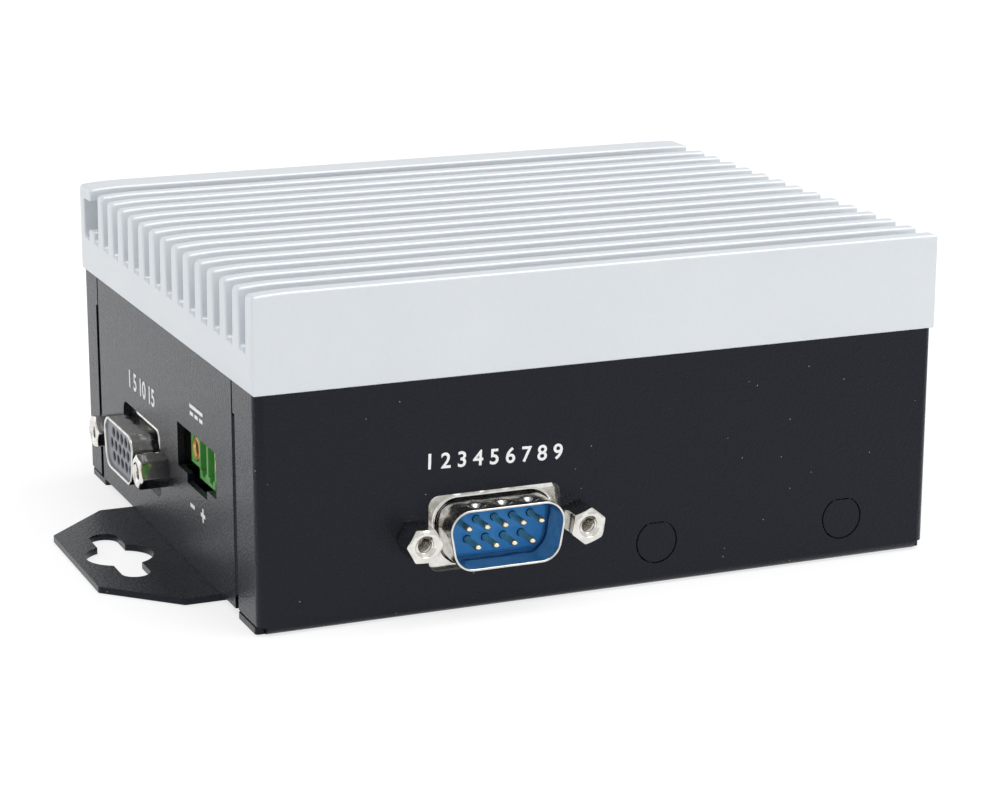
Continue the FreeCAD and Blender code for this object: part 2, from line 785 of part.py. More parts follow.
def clock_battery():
    x, y = cell_place
    top = board_under - cell_wall
    cell = rod(cell_radius, Vec(x, y, top - cell_height), Vec(0, 0, 1), cell_height)
    side = cell_radius + cell_wall
    room = rod(cell_radius + screw_gap, Vec(x, y, 0), Vec(0, 0, 1), top)
    holder = block(x - side, x + side, y - side, y + side, top - cell_height + cell_lip, board_under).cut(room)
    return holder, cell


def power_circuit():
    half = coil_side / 2
    x = power_back_x + coil_gap + half
    coils = [block(x - half, x + half, power_y + shift - half, power_y + shift + half, board_under - coil_height,
                   board_under, -coil_chamfer) for shift in coil_offsets]
    cans = [rod(can_radius, Vec(x, can_inset - inner_y, board_under - can_height), Vec(0, 0, 1), can_height)
            for x in can_columns]
    return coils, cans


def place_all(shapes, wall, along, up):
    shapes = shapes if isinstance(shapes, list) else [shapes]
    return [on_wall(s, wall, along, up) for s in shapes]


def build():
    os.makedirs("parts", exist_ok=True)
    save("heatsink", heatsink())
    save("bottom_tray", bottom_tray())
    save("left_io_panel", left_panel())
    save("right_io_panel", right_panel())
    for name, shapes in zip(("dsub9_shell", "dsub9_insulator", "dsub9_pins", "dsub9_jackscrews"), nine_parts()):
        save(name, place_all(shapes, "front", nine_x, nine_z))
    for name, shapes in zip(("dsub15_shell", "dsub15_insulator", "dsub15_contacts", "dsub15_jackscrews"),
                            many_parts()):
        save(name, place_all(shapes, "left", many_y, many_z))
    for name, shapes in zip(("power_header", "power_header_nuts", "power_header_pins"), power_parts()):
        save(name, place_all(shapes, "left", power_y, power_z))
    for name, shapes in zip(("lan_jack_shell", "lan_jack_insert", "lan_jack_contacts"), lan_parts()):
        save(name, place_all(shapes, "right", lan_y, board_under))
    for name, shapes in zip(("usb_shell", "usb_tongues"), usb_parts()):
        save(name, place_all(shapes, "right", usb_y, board_under))
    for name, shapes in zip(("video_socket_shell", "video_socket_tongue"), video_parts()):
        save(name, place_all(shapes, "right", video_y, board_under))
    save("carrier_board", carrier_board())
    groups = (
        (("board_standoffs", "board_screws"), board_fixings()),
        (("case_posts", "case_screws"), case_fixings()),
        (("panel_clips", "panel_screws"), panel_fixings()),
        (("module_board", "module_spacers", "module_screws", "module_socket"), module_parts()),
        (("processor", "thermal_pad", "heat_spreader", "memory_chips"), heat_path()),
        (("storage_card", "storage_socket", "storage_post", "storage_screw"), storage_parts()),
        (("coin_cell_holder", "coin_cell"), clock_battery()),
        (("inductors", "capacitors"), power_circuit()),
    )
    for names, pieces in groups:
        for name, shapes in zip(names, pieces):
            save(name, shapes if isinstance(shapes, list) else [shapes])


build()
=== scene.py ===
import bpy
import bmesh
import json
import math
from mathutils import Matrix, Vector


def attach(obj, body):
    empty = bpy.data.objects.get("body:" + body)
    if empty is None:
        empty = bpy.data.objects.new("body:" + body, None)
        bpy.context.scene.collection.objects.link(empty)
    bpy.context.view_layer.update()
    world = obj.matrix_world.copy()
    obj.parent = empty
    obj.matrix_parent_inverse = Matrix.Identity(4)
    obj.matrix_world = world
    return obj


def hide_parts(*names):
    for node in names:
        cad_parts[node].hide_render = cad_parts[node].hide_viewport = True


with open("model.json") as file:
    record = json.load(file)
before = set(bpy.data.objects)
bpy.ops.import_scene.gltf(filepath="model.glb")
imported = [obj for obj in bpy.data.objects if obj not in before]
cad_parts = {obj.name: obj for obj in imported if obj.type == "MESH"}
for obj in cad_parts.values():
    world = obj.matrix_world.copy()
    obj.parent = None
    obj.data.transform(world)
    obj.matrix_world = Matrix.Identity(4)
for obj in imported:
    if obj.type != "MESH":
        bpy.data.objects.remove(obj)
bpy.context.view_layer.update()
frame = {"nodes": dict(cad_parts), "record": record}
mm = 0.001  # the frame is in metres, the sizes below are in millimetres
print("frame loaded,", len(frame["nodes"]), "parts")


# shader helpers
class Wire:
    # one output socket, so that shader values are written as sums and products
    def __init__(self, tree, socket):
        self.tree = tree
        self.socket = socket

    def maths(self, operation, first, second):
        node = self.tree.nodes.new("ShaderNodeMath")
        node.operation = operation
        for put, value in zip(node.inputs, (first, second)):
            if isinstance(value, Wire):
                self.tree.links.new(value.socket, put)
            else:
                put.default_value = value
        return Wire(self.tree, node.outputs[0])

    def __add__(self, other):
        return self.maths("ADD", self, other)

    def __radd__(self, other):
        return self.maths("ADD", other, self)

    def __mul__(self, other):
        return self.maths("MULTIPLY", self, other)

    def __rmul__(self, other):
        return self.maths("MULTIPLY", other, self)

    def __gt__(self, other):
        return self.maths("GREATER_THAN", self, other)

    def __lt__(self, other):
        return self.maths("LESS_THAN", self, other)


class Finish:
    # a material or a world being wired up: node() adds any node, the rest are short names
    def __init__(self, owner):
        self.owner = owner
        owner.use_nodes = True
        self.tree = owner.node_tree
        self.tree.nodes.clear()

    def node(self, kind, settings, values, out=0):
        made = self.tree.nodes.new("ShaderNode" + kind)
        for key, value in settings.items():
            if key == "stops":
                for stop, (place, shade) in zip(made.color_ramp.elements, value):
                    stop.position = place
                    stop.color = (shade, shade, shade, 1)
            else:
                setattr(made, key, value)
        for key, value in values.items():
            put = made.inputs[key]
            if isinstance(value, Wire):
                self.tree.links.new(value.socket, put)
            elif put.type == "RGBA":
                put.default_value = (*value, 1)
            else:
                put.default_value = value
        return Wire(self.tree, made.outputs[out]) if len(made.outputs) else None

    def place(self):
        return self.node("TexCoord", {}, {}, "Object")

    def noise(self, size, detail=2.0, rough=0.5):
        # size is the grain in millimetres
        return self.node("TexNoise", {}, {"Vector": self.place(), "Scale": 1 / (size * mm),
                                          "Detail": detail, "Roughness": rough})

    def cells(self, size):
        values = {"Vector": self.place(), "Scale": 1 / (size * mm)}
        return self.node("TexVoronoi", {}, values, "Distance")

    def ramp(self, value, stops):
        return self.node("ValToRGB", {"stops": stops}, {"Fac": value}, "Color")

    def mix(self, share, first, second):
        # of two colours; 6, 7 and output 2 are the Mix node's colour sockets
        return self.node("Mix", {"data_type": "RGBA"}, {0: share, 6: first, 7: second}, 2)

    def bump(self, height, rise, strength=1.0):
        # rise is in millimetres
        values = {"Height": height, "Distance": rise * mm, "Strength": strength}
        return self.node("Bump", {}, values, "Normal")

    def surface(self, values):
        shader = self.node("BsdfPrincipled", {}, values, "BSDF")
        self.node("OutputMaterial", {}, {"Surface": shader})
        return self.owner


def newFinish(name):
    return Finish(bpy.data.materials.new(name))


def srgb(*display):
    # a display colour, 0 to 255, as the linear one that the shader takes
    shares = [c / 255 for c in display]
    return tuple(c / 12.92 if c <= 0.04045 else ((c + 0.055) / 1.055) ** 2.4 for c in shares)


# finishes, with their grain and rise in millimetres
blasted = {"dark": srgb(213, 218, 223), "pale": srgb(227, 231, 234), "grain": 0.34, "pits": 0.9,
           "cloud": 18.0, "metal": 0.5, "rough": 0.42, "roughSpread": 0.16, "rise": 0.05}


def blastedAluminium():
    b = blasted
    f = newFinish("blastedAluminium")
    grain = f.noise(b["grain"], 3.0)
    cloud = f.noise(b["cloud"])
    pits = f.noise(b["pits"], 2.0, 0.6)
    colour = f.mix(cloud * 0.5 + grain * 0.5, b["dark"], b["pale"])
    return f.surface({"Base Color": colour, "Metallic": b["metal"],
                      "Roughness": grain * b["roughSpread"] + b["rough"],
                      "Normal": f.bump(grain + pits * 0.5, b["rise"], 0.6)})


coat = {"dark": srgb(7, 8, 13), "pale": srgb(18, 19, 27), "tint": (0.8, 0.86, 1.0),
        "grain": 0.48, "fine": 0.22, "rise": 0.11, "rough": 0.2, "roughSpread": 0.12,
        "gloss": 0.27, "sheen": 0.14, "sheenRough": 0.3,
        "dust": srgb(196, 198, 202), "dustSpacing": 1.9, "dustSize": 0.05,
        "dustPatch": 5.0, "dustFrom": 0.53, "dustShare": 0.4}


def powderCoat():
    c = coat
    f = newFinish("powderCoat")
    grain = f.noise(c["grain"], 2.0, 0.6)
    fine = f.noise(c["fine"], 2.0, 0.6)
    specks = f.cells(c["dustSpacing"]) < c["dustSize"]
    patches = f.noise(c["dustPatch"], 1.0) > c["dustFrom"]
    colour = f.mix(grain, c["dark"], c["pale"])
    colour = f.mix(specks * patches * c["dustShare"], colour, c["dust"])
    return f.surface({"Base Color": colour, "Roughness": fine * c["roughSpread"] + c["rough"],
                      "Specular IOR Level": c["gloss"], "Specular Tint": c["tint"],
                      "Sheen Weight": c["sheen"], "Sheen Roughness": c["sheenRough"],
                      "Sheen Tint": c["tint"],
                      "Normal": f.bump(grain * 0.8 + fine * 0.35, c["rise"])})


nickel = {"smear": 1.4, "smearStops": ((0.3, 0.0), (0.7, 1.0)), "wave": 2.2, "scratch": 0.4,
          "scratchShare": 0.06, "rough": 0.08, "roughSpread": 0.12, "rippleStrength": 0.8}


def nickelPlate(name, dull, bright, ripple):
    n = nickel
    f = newFinish(name)
    smear = f.noise(n["smear"], 3.0)
    colour = f.mix(f.ramp(smear, n["smearStops"]), dull, bright)
    height = f.noise(n["wave"], 1.0) + f.noise(n["scratch"]) * n["scratchShare"]
    return f.surface({"Base Color": colour, "Metallic": 1.0,
                      "Roughness": smear * n["roughSpread"] + n["rough"],
                      "Normal": f.bump(height, ripple, n["rippleStrength"])})


metals = {
    "platedSteel": {"low": srgb(168, 170, 174), "high": srgb(205, 207, 210), "smear": 0.8,
                    "detail": 3.0, "metal": 1.0, "rough": 0.28, "roughSpread": 0.2},
    "blackSteel": {"low": srgb(28, 28, 30), "high": srgb(52, 52, 54), "smear": 0.6,
                   "detail": 3.0, "metal": 0.6, "rough": 0.35, "roughSpread": 0.2},
    "goldContact": {"low": srgb(232, 208, 160), "high": srgb(253, 244, 222), "smear": 0.3,
                    "detail": 2.0, "metal": 1.0, "rough": 0.16, "roughSpread": 0.15},
    "turnedBrass": {"low": srgb(196, 142, 70), "high": srgb(232, 186, 112), "smear": 0.3,
                    "detail": 2.0, "metal": 1.0, "rough": 0.22, "roughSpread": 0.2},
}


def smearedMetal(name):
    m = metals[name]
    f = newFinish(name)
    smear = f.noise(m["smear"], m["detail"])
    return f.surface({"Base Color": f.mix(smear, m["low"], m["high"]), "Metallic": m["metal"],
                      "Roughness": smear * m["roughSpread"] + m["rough"]})


plastic = {"cloud": 1.8, "fine": 0.12, "rise": 0.008, "roughSpread": 0.12}


def mouldedPlastic(name, low, high, rough):
    p = plastic
    f = newFinish(name)
    cloud = f.noise(p["cloud"], 3.0)
    return f.surface({"Base Color": f.mix(cloud, low, high),
                      "Roughness": cloud * p["roughSpread"] + rough,
                      "Normal": f.bump(f.noise(p["fine"]), p["rise"], 0.5)})


mask = {"low": srgb(10, 74, 42), "high": srgb(22, 104, 60), "weave": 0.5, "trackScale": 180.0,
        "trackBend": 6.0, "trackFrom": 0.7, "rise": 0.03, "rough": 0.25}


def solderMask():
    m = mask
    f = newFinish("solderMask")
    weave = f.noise(m["weave"])
    waves = f.node("TexWave", {"wave_type": "BANDS"},
                   {"Vector": f.place(), "Scale": m["trackScale"], "Distortion": m["trackBend"],
                    "Detail": 1.0}, "Fac")
    tracks = waves > m["trackFrom"]
    colour = f.mix(tracks * 0.6 + weave * 0.2, m["low"], m["high"])
    return f.surface({"Base Color": colour, "Roughness": weave * 0.1 + m["rough"],
                      "Normal": f.bump(tracks, m["rise"], 0.4)})


finishOfSlot = {
    "heatsink_aluminium": blastedAluminium(),
    "case_coating": powderCoat(),
    "nickel": nickelPlate("drawnNickel", srgb(204, 202, 196), srgb(230, 229, 226), 0.12),
    "steel_zinc": smearedMetal("platedSteel"),
    "steel_black": smearedMetal("blackSteel"),
    "contact_gold": smearedMetal("goldContact"),
    "nut_brass": smearedMetal("turnedBrass"),
    "insulator_blue": mouldedPlastic("bluePlastic", srgb(32, 128, 212), srgb(44, 146, 230), 0.38),
    "insulator_grey": mouldedPlastic("greyPlastic", srgb(128, 132, 140), srgb(146, 150, 157), 0.42),
    "header_green": mouldedPlastic("greenPlastic", srgb(74, 150, 66), srgb(96, 172, 84), 0.36),
    "plastic_black": mouldedPlastic("blackPlastic", srgb(22, 22, 24), srgb(34, 34, 36), 0.4),
    "board_green": solderMask(),
    "chip_black": mouldedPlastic("chipPlastic", srgb(26, 26, 28), srgb(38, 38, 40), 0.5),
    "pad_grey": mouldedPlastic("padRubber", srgb(138, 142, 148), srgb(156, 160, 166), 0.7),
    "spreader_aluminium": blastedAluminium(),
    "can_aluminium": smearedMetal("platedSteel"),
    "ferrite_grey": mouldedPlastic("ferrite", srgb(56, 56, 60), srgb(72, 72, 76), 0.6),
}
lockFinish = nickelPlate("turnedNickel", srgb(216, 213, 206), srgb(232, 230, 226), 0.03)
slotOfNode = {row["node"]: row["material_slot"] for row in frame["record"]["subparts"]}
for name, part in frame["nodes"].items():
    part.data.materials.clear()
    part.data.materials.append(finishOfSlot[slotOfNode[name]])
print("finishes on", len(slotOfNode), "parts")


# mesh helpers, all in millimetres until makePiece
def roundedLoop(corners, steps=6, inset=0.0, spread=()):
    # closed outline through (across, up, radius) corners, counterclockwise
    # inset moves it inwards, spread adds points on the side that follows each corner
    arcs = []
    for i, (a, b, radius) in enumerate(corners):
        here = Vector((a, b))
        back = (Vector(corners[i - 1][:2]) - here).normalized()
        ahead = (Vector(corners[(i + 1) % len(corners)][:2]) - here).normalized()
        side = 1 if back.y * ahead.x - back.x * ahead.y > 0 else -1
        half = back.angle(ahead) / 2
        inward = (back + ahead).normalized()
        if radius == 0:
            arcs.append([here + inward * (side * inset / math.sin(half))])
            continue
        middle = here + inward * (radius / math.sin(half))
        first = here + back * (radius / math.tan(half)) - middle
        last = here + ahead * (radius / math.tan(half)) - middle
        start = math.atan2(first.y, first.x)
        sweep = (math.atan2(last.y, last.x) - start + math.pi) % (2 * math.pi) - math.pi
        reach = max(radius - side * inset, 0.01)  # an arc that is pulled in keeps a little round
        turns = [start + sweep * k / steps for k in range(steps + 1)]
        arcs.append([middle + Vector((math.cos(t), math.sin(t))) * reach for t in turns])
    loop = []
    for i, arc in enumerate(arcs):
        loop += arc
        extra = spread[i] if spread else 0
        follow = arcs[(i + 1) % len(arcs)][0]
        loop += [arc[-1].lerp(follow, (k + 1) / (extra + 1)) for k in range(extra)]
    return loop


def anglesOf(count):
    return [2 * math.pi * k / count for k in range(count)]


def circleLoop(x, y, radius, count):
    return [Vector((x + radius * math.cos(t), y + radius * math.sin(t))) for t in anglesOf(count)]


def loft(rings, ends=True):
    # skin over rings of equal length, with flat ends
    count = len(rings[0])
    points = [p for ring in rings for p in ring]
    faces = []
    for r in range(len(rings) - 1):
        for k in range(count):
            follow = (k + 1) % count
            faces.append((r * count + k, r * count + follow,
                          (r + 1) * count + follow, (r + 1) * count + k))
    if ends:
        faces.append(tuple(range(count)))
        faces.append(tuple(range((len(rings) - 1) * count, len(rings) * count)))
    return points, faces


def loftAround(rings):
    # skin over rings that come back to the first one
    return loft(rings + rings[:1], False)


def raised(loop, depth):
    # a flat outline set at a depth, as (across, out, up)
    return [(p.x, depth, p.y) for p in loop]


def roundedEnd(radius, steps=4):
    # (inset, setback) pairs of a quarter round, from the flat end to the side
    turns = [math.pi / 2 * k / steps for k in range(steps + 1)]
    return [(radius * (1 - math.sin(t)), radius * (1 - math.cos(t))) for t in turns]


def plug(corners, back, front, edge):
    # solid with a rounded front edge
    rings = [raised(roundedLoop(corners), back)]
    rings += [raised(roundedLoop(corners, inset=inset), front - setback)
              for inset, setback in roundedEnd(edge)[::-1]]
    return loft(rings)


def plateWithHoles(outer, holes, back, front, edge):
    # flat plate whose outline and holes are loops, with rounded rims
    curve = bpy.data.curves.new("plateOutline", "CURVE")
    curve.dimensions = "2D"
    curve.fill_mode = "BOTH"
    for loop in [outer] + holes:
        spline = curve.splines.new("POLY")
        spline.points.add(len(loop) - 1)
        for point, p in zip(spline.points, loop):
            point.co = (p.x, p.y, 0, 1)
        spline.use_cyclic_u = True
    curve.extrude = (front - back) / 2 - edge
    curve.bevel_depth = edge
    curve.bevel_resolution = 2
    curve.offset = -edge
    holder = bpy.data.objects.new("plateOutline", curve)
    mesh = bpy.data.meshes.new_from_object(holder)
    middle = (front + back) / 2
    points = [(v.co.x, middle + v.co.z, v.co.y) for v in mesh.vertices]
    faces = [tuple(f.vertices) for f in mesh.polygons]
    bpy.data.objects.remove(holder)
    bpy.data.curves.remove(curve)
    bpy.data.meshes.remove(mesh)
    return points, faces


def moved(part, place):
    return [place(*p) for p in part[0]], part[1]


def makePiece(name, parts, slotName, replaced=(), sharp=35.0, finish=None):
    # one object of several (points, faces) parts; sharp is the angle that stays an edge
    mesh = bpy.data.meshes.new(name)
    points, faces = [], []
    for some, joins in parts:
        faces += [tuple(k + len(points) for k in face) for face in joins]
        points += [tuple(c * mm for c in p) for p in some]
    mesh.from_pydata(points, [], faces)
    work = bmesh.new()
    work.from_mesh(mesh)
    bmesh.ops.remove_doubles(work, verts=work.verts, dist=0.001 * mm)
    bmesh.ops.recalc_face_normals(work, faces=work.faces)
    work.to_mesh(mesh)
    work.free()
    mesh.shade_smooth()
    mesh.set_sharp_from_angle(angle=math.radians(sharp))
    mesh.materials.append(finish or finishOfSlot[slotName])
    piece = bpy.data.objects.new(name, mesh)
    bpy.context.scene.collection.objects.link(piece)
    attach(piece, "root")
    if replaced:
        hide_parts(*replaced)
    return piece


# heat sink: one extruded profile, its ends rounded and dipped, from front to rear
sink = {"depth": 89.4, "reach": 53.4, "bottom": 34.6, "height": 14.2, "base": 5.7,
        "frontWall": 2.8, "rearWall": 2.0, "draft": 0.3, "underRound": 0.2,
        "fins": 13, "firstFin": 7.4, "lastFin": 77.4, "finTop": 2.3, "finRoot": 2.9,
        "tipRound": 0.44, "rootRound": 0.6,
        "ribWidth": 2.9, "ribHeight": 1.6, "ribGap": 3.1, "ribRound": 0.35,
        "lipReach": 6.1, "lipThick": 2.3,
        "dipRun": 6.5, "dip": 0.35, "farDip": 0.1, "endRound": 0.28,
        "corner": 0.6, "farCorner": 0.3, "rootDrop": 0.6, "tipBand": 0.1, "rootBand": 0.12}
sinkBores = {"places": ((40.0, 38.0), (47.5, 38.5), (46.9, 26.0)), "radius": 1.6,
             "from": 30.0, "to": 38.8, "count": 20}


def sinkProfile():
    s = sink
    rear = s["depth"] - s["rearWall"]
    high, base, tip, root = s["height"], s["base"], s["tipRound"], s["rootRound"]
    corners = [(0, 0, s["underRound"]), (0, high, tip), (s["frontWall"], high, tip),
               (s["frontWall"] + s["draft"], base, root)]
    for n in range(s["fins"]):
        middle = s["firstFin"] + n * (s["lastFin"] - s["firstFin"]) / (s["fins"] - 1)
        halfRoot, halfTop = s["finRoot"] / 2, s["finTop"] / 2
        corners += [(middle - halfRoot, base, root), (middle - halfTop, high, tip),
                    (middle + halfTop, high, tip), (middle + halfRoot, base, root)]
    ribBack, ribTop = rear - s["ribGap"], base + s["ribHeight"]
    ribFront = ribBack - s["ribWidth"]
    lipFront, lipUnder = s["depth"] - s["lipReach"], high - s["lipThick"]
    corners += [(ribFront, base, root), (ribFront, ribTop, s["ribRound"]),
                (ribBack, ribTop, s["ribRound"]), (ribBack, base, root), (rear, base, root),
                (rear, lipUnder, root), (lipFront, lipUnder, tip), (lipFront, high, tip),
                (s["depth"], high, tip), (s["depth"], 0, s["underRound"])]
    return corners[::-1]


def sinkRing(x, profile):
    # the profile at x: pulled in and lowered near both ends
    s = sink
    inner = s["reach"] - abs(x)
    endRound = s["endRound"]
    inset = endRound - math.sqrt(max(0.0, endRound ** 2 - max(0.0, endRound - inner) ** 2))
    deepest, corner = (s["dip"], s["corner"]) if x < 0 else (s["farDip"], s["farCorner"])
    dip = deepest * max(0.0, 1 - inner / s["dipRun"]) ** 2
    ring = []
    for p in roundedLoop(profile, 4, inset):
        drop = 0.0
        if p.y > s["height"] - s["tipRound"] - s["tipBand"]:
            drop = dip + corner - math.sqrt(corner ** 2 - max(0.0, corner - inner) ** 2)
        elif abs(p.y - s["base"]) < s["rootBand"]:
            drop = corner * s["rootDrop"] * max(0.0, 1 - inner / corner) ** 2
        ring.append((x, p.x - s["depth"] / 2, p.y + s["bottom"] - drop))
    return ring


def makeSink():
    profile = sinkProfile()
    fromEnd = [0.0, 0.02, 0.06, 0.12, 0.19, sink["endRound"], 0.4, sink["corner"],
               1.2, 2.2, 3.4, 4.8, sink["dipRun"]]
    stations = [-sink["reach"] + d for d in fromEnd] + [sink["reach"] - d for d in fromEnd[::-1]]
    skin = loft([sinkRing(x, profile) for x in stations])
    piece = makePiece("heatsinkProfile", [skin], "heatsink_aluminium", ["heatsink"], 40.0)
    # screw holes in the underside
    b = sinkBores
    cutters = []
    for x, y in b["places"]:
        for across, along in ((-x, -y), (-x, y), (x, -y), (x, y)):
            rim = circleLoop(across, along, b["radius"], b["count"])
            cutters.append(loft([[(p.x, p.y, z) for p in rim] for z in (b["from"], b["to"])]))
    bores = makePiece("sinkBores", cutters, "heatsink_aluminium")
    cut = piece.modifiers.new("bores", "BOOLEAN")
    cut.operation = "DIFFERENCE"
    cut.solver = "EXACT"
    cut.object = bores
    bpy.context.view_layer.update()
    seen = bpy.context.evaluated_depsgraph_get()
    drilled = bpy.data.meshes.new_from_object(piece.evaluated_get(seen))
    piece.modifiers.clear()
    piece.data = drilled
    bpy.data.objects.remove(bores)


makeSink()
print("heat sink")


# connectors: (across, out, up) from the inner face of the wall that carries them
nine = {"x": -17.7, "z": 11.9, "width": 18.7, "height": 9.0, "round": 3.1, "out": 6.0,
        "wall": 0.35, "pitch": 2.77, "rows": 2.84,
        "dents": (-4.0, 0.0, 4.0), "dentOut": 3.8, "dentSize": 1.3, "dentDeep": 0.72,
        "dentBand": 0.3,
        "floor": 0.55, "floorBack": -0.3, "floorEdge": 0.1, "plugEdge": 0.05,
        "groove": 0.5, "well": 0.58,
        "pin": 0.5, "pinOut": 5.0, "pinBack": -0.2,
        # how far behind the tip, and what share of the pin's width and height is left there
        "pinTip": ((0.7, 1.0, 1.0), (0.3, 0.96, 0.8), (0.08, 0.86, 0.62), (0.0, 0.7, 0.44)),
        "shank": 1.1, "backs": (3.2, 6.0), "bends": (0.3, 0.2), "jack": 5.0, "turns": (40.0, 2.0)}
many = {"y": 12.6, "z": 12.3, "width": 17.0, "height": 8.2, "round": 2.6, "out": 4.9,
        "wall": 0.45, "pitch": 2.29, "rows": 1.98, "stagger": 0.25,
        "faceInset": 0.5, "faceEdge": 0.12, "faceBack": 0.5, "plugEdge": 0.02,
        "hole": 0.83, "lining": 0.04, "liningBack": 0.02,
        "mouth": 0.5, "mouthRim": 0.08, "mouthBack": 0.22, "mouthRound": 0.1, "mouthDeep": 2.2,
        "jack": 4.5, "turns": (15.0, 50.0)}
dee = {"frontInner": -43.5, "leftInner": -52.2, "sheet": 1.0, "slant": 10.0,
       "flangeWidth": 30.81, "flangeHeight": 12.55, "flangeThick": 0.8, "flangeRound": 1.5,
       "flangeEdge": 0.06, "flangeHole": 1.6, "rimHoleInset": 0.02, "screwSpacing": 24.99,
       "draw": 0.55, "lipBelow": 0.2, "riseSteps": 30, "plainSpread": 12, "dentSpread": 64,
       "bodyWidth": 18.6, "bodyDepth": 8.0, "bodyRound": 0.3, "boardUnder": 22.8,
       "air": 0.01, "boardGap": 0.02}
lock = {"flats": 4.8, "count": 60, "bore": 1.38, "boreDeep": 4.2,
        "thread": 0.32, "threadPitch": 0.8, "threadFrom": 0.25, "slices": 10,
        "stud": 1.3, "studBack": -4.0, "studRound": 0.2, "heel": (0.05, 0.08),
        "cone": 0.12, "coneSlope": 0.5, "coneFrom": 0.1, "coneTurn": (0.08, 0.05),
        "faceInset": 0.2, "mouthOuter": 0.22, "mouthInner": 0.05, "mouthDeep": 0.18}


def onFront(across, out, up):
    return nine["x"] - across, dee["frontInner"] - out, nine["z"] + up


def onLeft(across, out, up):
    return dee["leftInner"] - out, many["y"] + across, many["z"] + up


def deeCorners(d):
    low = d["width"] / 2 - d["height"] * math.tan(math.radians(dee["slant"]))
    half, wide, r = d["height"] / 2, d["width"] / 2, d["round"]
    return [(-low, -half, r), (low, -half, r), (wide, half, r), (-wide, half, r)]


def smaller(d, inset):
    return dict(d, width=d["width"] - 2 * inset, height=d["height"] - 2 * inset,
                round=d["round"] - inset)


def shellSteps(d):
    # (inset, out) of the drawn rim: up from a soft root, over a rounded lip, down inside
    wall, out, draw, count = d["wall"], d["out"], dee["draw"], dee["riseSteps"]
    rootTurns = [math.pi / 2 * k / 5 for k in range(6)]
    steps = [(-(draw - draw * math.sin(t)), draw * (1 - math.cos(t))) for t in rootTurns]
    rise = [draw + (out - dee["lipBelow"] - draw) * k / count for k in range(1, count + 1)]
    steps += [(0.0, r) for r in rise]
    lip = wall / 2
    lipTurns = [math.pi * k / 8 for k in range(1, 9)]
    steps += [(lip * (1 - math.cos(t)), out - lip + lip * math.sin(t)) for t in lipTurns]
    return steps + [(wall, r) for r in rise[::-1]] + [(wall, -dee["flangeThick"])]


def shellParts(d, dents=()):
    corners = deeCorners(d)
    plain, wall = dee["plainSpread"], d["wall"]
    spread = (plain, 6, dee["dentSpread"] if dents else plain, 6)
    rings = []
    for inset, depth in shellSteps(d):
        ring = []
        for p in roundedLoop(corners, 10, inset, spread):
            drop = 0.0
            if dents and p.y > d["height"] / 2 - wall - d["dentBand"] and abs(inset) <= wall:
                for x in dents:
                    away = math.hypot(p.x - x, depth - d["dentOut"]) / d["dentSize"]
                    drop = max(drop, d["dentDeep"] * max(0.0, 1 - away ** 2) ** 1.5)
            ring.append((p.x, depth, p.y - drop))
        rings.append(ring)
    half, high, r = dee["flangeWidth"] / 2, dee["flangeHeight"] / 2, dee["flangeRound"]
    plate = [(-half, -high, r), (half, -high, r), (half, high, r), (-half, high, r)]
    holes = [roundedLoop(corners, 8, dee["rimHoleInset"])]
    holes += [circleLoop(side * dee["screwSpacing"] / 2, 0, dee["flangeHole"], 24)
              for side in (-1, 1)]
    flange = plateWithHoles(roundedLoop(plate, 4), holes, -dee["flangeThick"], 0.0,
                            dee["flangeEdge"])
    return [loftAround(rings), flange]


def lockPart(side, d, turn):
    # hexagonal lock: plain stud behind, chamfered front, threaded bore
    k = lock
    x = side * dee["screwSpacing"] / 2
    heel, front = dee["sheet"], dee["sheet"] + d["jack"]
    angles = anglesOf(k["count"])

    def ring(reach, depth):
        reaches = reach if isinstance(reach, list) else [reach] * k["count"]
        depths = depth if isinstance(depth, list) else [depth] * k["count"]
        return [(x + r * math.cos(t), z, r * math.sin(t))
                for t, r, z in zip(angles, reaches, depths)]

    flat = k["flats"] / 2
    sixth = math.pi / 3
    corner = [flat / math.cos((t - math.radians(turn)) % sixth - sixth / 2) for t in angles]
    cone = [front - k["cone"] - k["coneSlope"] * max(0.0, r - flat + k["coneFrom"]) for r in corner]
    heelIn, heelRise = k["heel"]
    turnIn, turnRise = k["coneTurn"]
    rings = [ring(k["stud"] - k["studRound"], k["studBack"]),
             ring(k["stud"], k["studBack"] + k["studRound"]),
             ring(k["stud"], heel),
             ring([r - heelIn for r in corner], heel),
             ring(corner, heel + heelRise),
             ring(corner, cone),
             ring([r - turnIn for r in corner], [z + turnRise for z in cone]),
             ring(flat - k["faceInset"], front),
             ring(k["bore"] + k["mouthOuter"], front),
             ring(k["bore"] + k["mouthInner"], front - k["mouthDeep"])]
    pitch, slices = k["threadPitch"], k["slices"]
    for n in range(int((k["boreDeep"] - k["threadFrom"]) / pitch * slices)):
        depth = front - k["threadFrom"] - n * pitch / slices
        phases = [2 * math.pi * (front - depth) / pitch - t for t in angles]
        reaches = [k["bore"] - k["thread"] * 0.5 * (1 - math.cos(phase)) for phase in phases]
        rings.append(ring(reaches, depth))
    rings.append(ring(k["bore"] - k["thread"], front - k["boreDeep"]))
    return loft(rings)


def bodyPart(d):
    # moulded block behind the flange, up to the board
    half, r = dee["bodyWidth"] / 2, dee["bodyRound"]
    low, top = -d["height"] / 2, dee["boardUnder"] - d["z"] - dee["boardGap"]
    outline = roundedLoop([(-half, low, r), (half, low, r), (half, top, r), (-half, top, r)], 3)
    return loft([raised(outline, -dee["flangeThick"] - dee["bodyDepth"]),
                 raised(outline, -dee["flangeThick"])])


